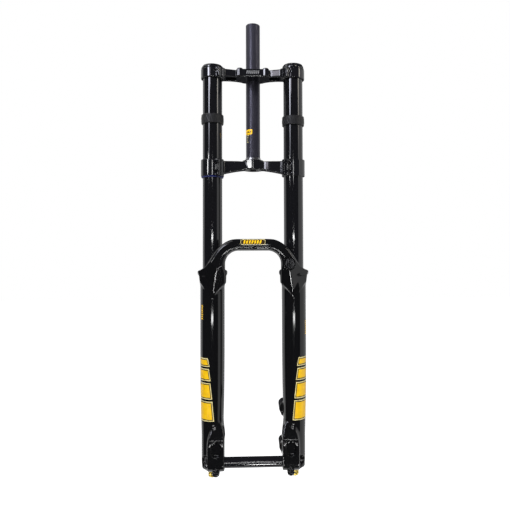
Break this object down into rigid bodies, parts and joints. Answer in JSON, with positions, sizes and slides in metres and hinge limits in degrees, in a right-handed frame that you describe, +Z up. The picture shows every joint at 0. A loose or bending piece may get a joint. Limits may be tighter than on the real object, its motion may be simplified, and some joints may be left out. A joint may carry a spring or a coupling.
{
  "type": "suspension fork",
  "caption": "Dual-crown downhill suspension fork with straight steerer, two clamped stanchions, sliding lower legs, front arch, through axle and post-type brake mounts.",
  "frame": {"origin": "on the steerer axis at the crown race seat, which is the top of the lower crown boss", "axes": "+Z up along the steerer, +X towards the disc-brake leg, -Y towards the front of the bicycle"},
  "size_m": [0.2176, 0.1015, 0.8993],
  "materials": {
    "satin_grey": "satin dark grey anodised, fine turned lines",
    "black_anodise": "gloss black anodised",
    "black_paint": "gloss black paint on cast magnesium",
    "silver": "bare turned",
    "steel": "plated steel",
    "rubber": "matte moulded",
    "blue_rubber": "matte dark blue",
    "blue_anodise": "satin blue anodised",
    "gold_anodise": "satin gold anodised",
    "bronze": "sintered bearing bronze",
    "foam": "open-cell oil foam",
    "plastic": "moulded, matte"
  },
  "bodies": {
    "chassis": {"steerer_tube": "satin_grey", "crown_race": "silver", "lower_crown": "black_anodise", "lower_crown_bolt_left_upper": "steel", "lower_crown_bolt_left_lower": "steel", "lower_crown_bolt_right_upper": "steel", "lower_crown_bolt_right_lower": "steel", "upper_crown": "black_anodise", "upper_crown_bolt_left": "silver", "upper_crown_bolt_right": "silver", "steerer_pinch_bolt": "steel", "stanchion_left": "black_anodise", "stanchion_right": "black_anodise", "frame_bumper_left": "rubber", "frame_bumper_right": "rubber", "travel_ring": "blue_rubber", "air_top_cap": "black_anodise", "air_valve": "silver", "air_valve_cap": "gold_anodise", "damper_top_cap": "black_anodise", "air_seal_head": "silver", "top_out_bumper": "rubber", "damper_tube": "silver", "damper_seal_head": "silver", "compression_valve": "bronze", "compression_needle": "steel"},
    "lowers": {"lower_casting": "black_paint", "wiper_seal_left": "rubber", "wiper_seal_right": "rubber", "foam_ring_left": "foam", "foam_ring_right": "foam", "upper_bushing_left": "bronze", "upper_bushing_right": "bronze", "lower_bushing_left": "bronze", "lower_bushing_right": "bronze", "air_piston": "plastic", "air_piston_seal": "rubber", "air_shaft": "steel", "damper_piston": "bronze", "damper_shaft": "steel", "bottom_out_bumper_air": "rubber", "bottom_out_bumper_damper": "rubber", "air_foot_bolt": "steel", "damper_foot_bolt": "steel", "ramp_valve_cap": "gold_anodise", "axle_pinch_bolt_left": "steel", "axle_pinch_bolt_right": "steel", "hose_guide": "plastic", "hose_guide_screw": "silver"},
    "low_speed_adjuster": {"low_speed_knob": "blue_anodise"},
    "high_speed_adjuster": {"high_speed_knob": "blue_anodise"},
    "rebound_adjuster": {"rebound_knob": "gold_anodise"},
    "gas_piston": {"floating_piston": "plastic"},
    "axle_body": {"axle": "black_anodise"}
  },
  "joints": [
    {"name": "travel", "type": "slide", "parent": "chassis", "child": "lowers", "axis": [0, 0, 1], "range_m": [0, 0.18], "stiffness_N_per_m": 4000, "springref_m": -0.03},
    {"name": "gas_piston_slide", "type": "slide", "parent": "chassis", "child": "gas_piston", "axis": [0, 0, 1], "range_m": [0, 0.0315]},
    {"name": "low_speed_turn", "type": "hinge", "parent": "chassis", "child": "low_speed_adjuster", "pos_m": [0.08, -0.03, 0.187], "axis": [0, 0, 1], "range_deg": [-720, 0]},
    {"name": "high_speed_turn", "type": "hinge", "parent": "chassis", "child": "high_speed_adjuster", "pos_m": [0.08, -0.03, 0.187], "axis": [0, 0, 1], "range_deg": [-360, 0]},
    {"name": "rebound_turn", "type": "hinge", "parent": "lowers", "child": "rebound_adjuster", "pos_m": [0.08, -0.03, -0.61], "axis": [0, 0, -1], "range_deg": [-720, 0]},
    {"name": "axle_draw", "type": "slide", "parent": "lowers", "child": "axle_body", "axis": [-1, 0, 0], "range_m": [0, 0.19]}
  ],
  "couplings": [
    {"joint": "gas_piston_slide", "follows": "travel", "ratio": 0.174}
  ]
}
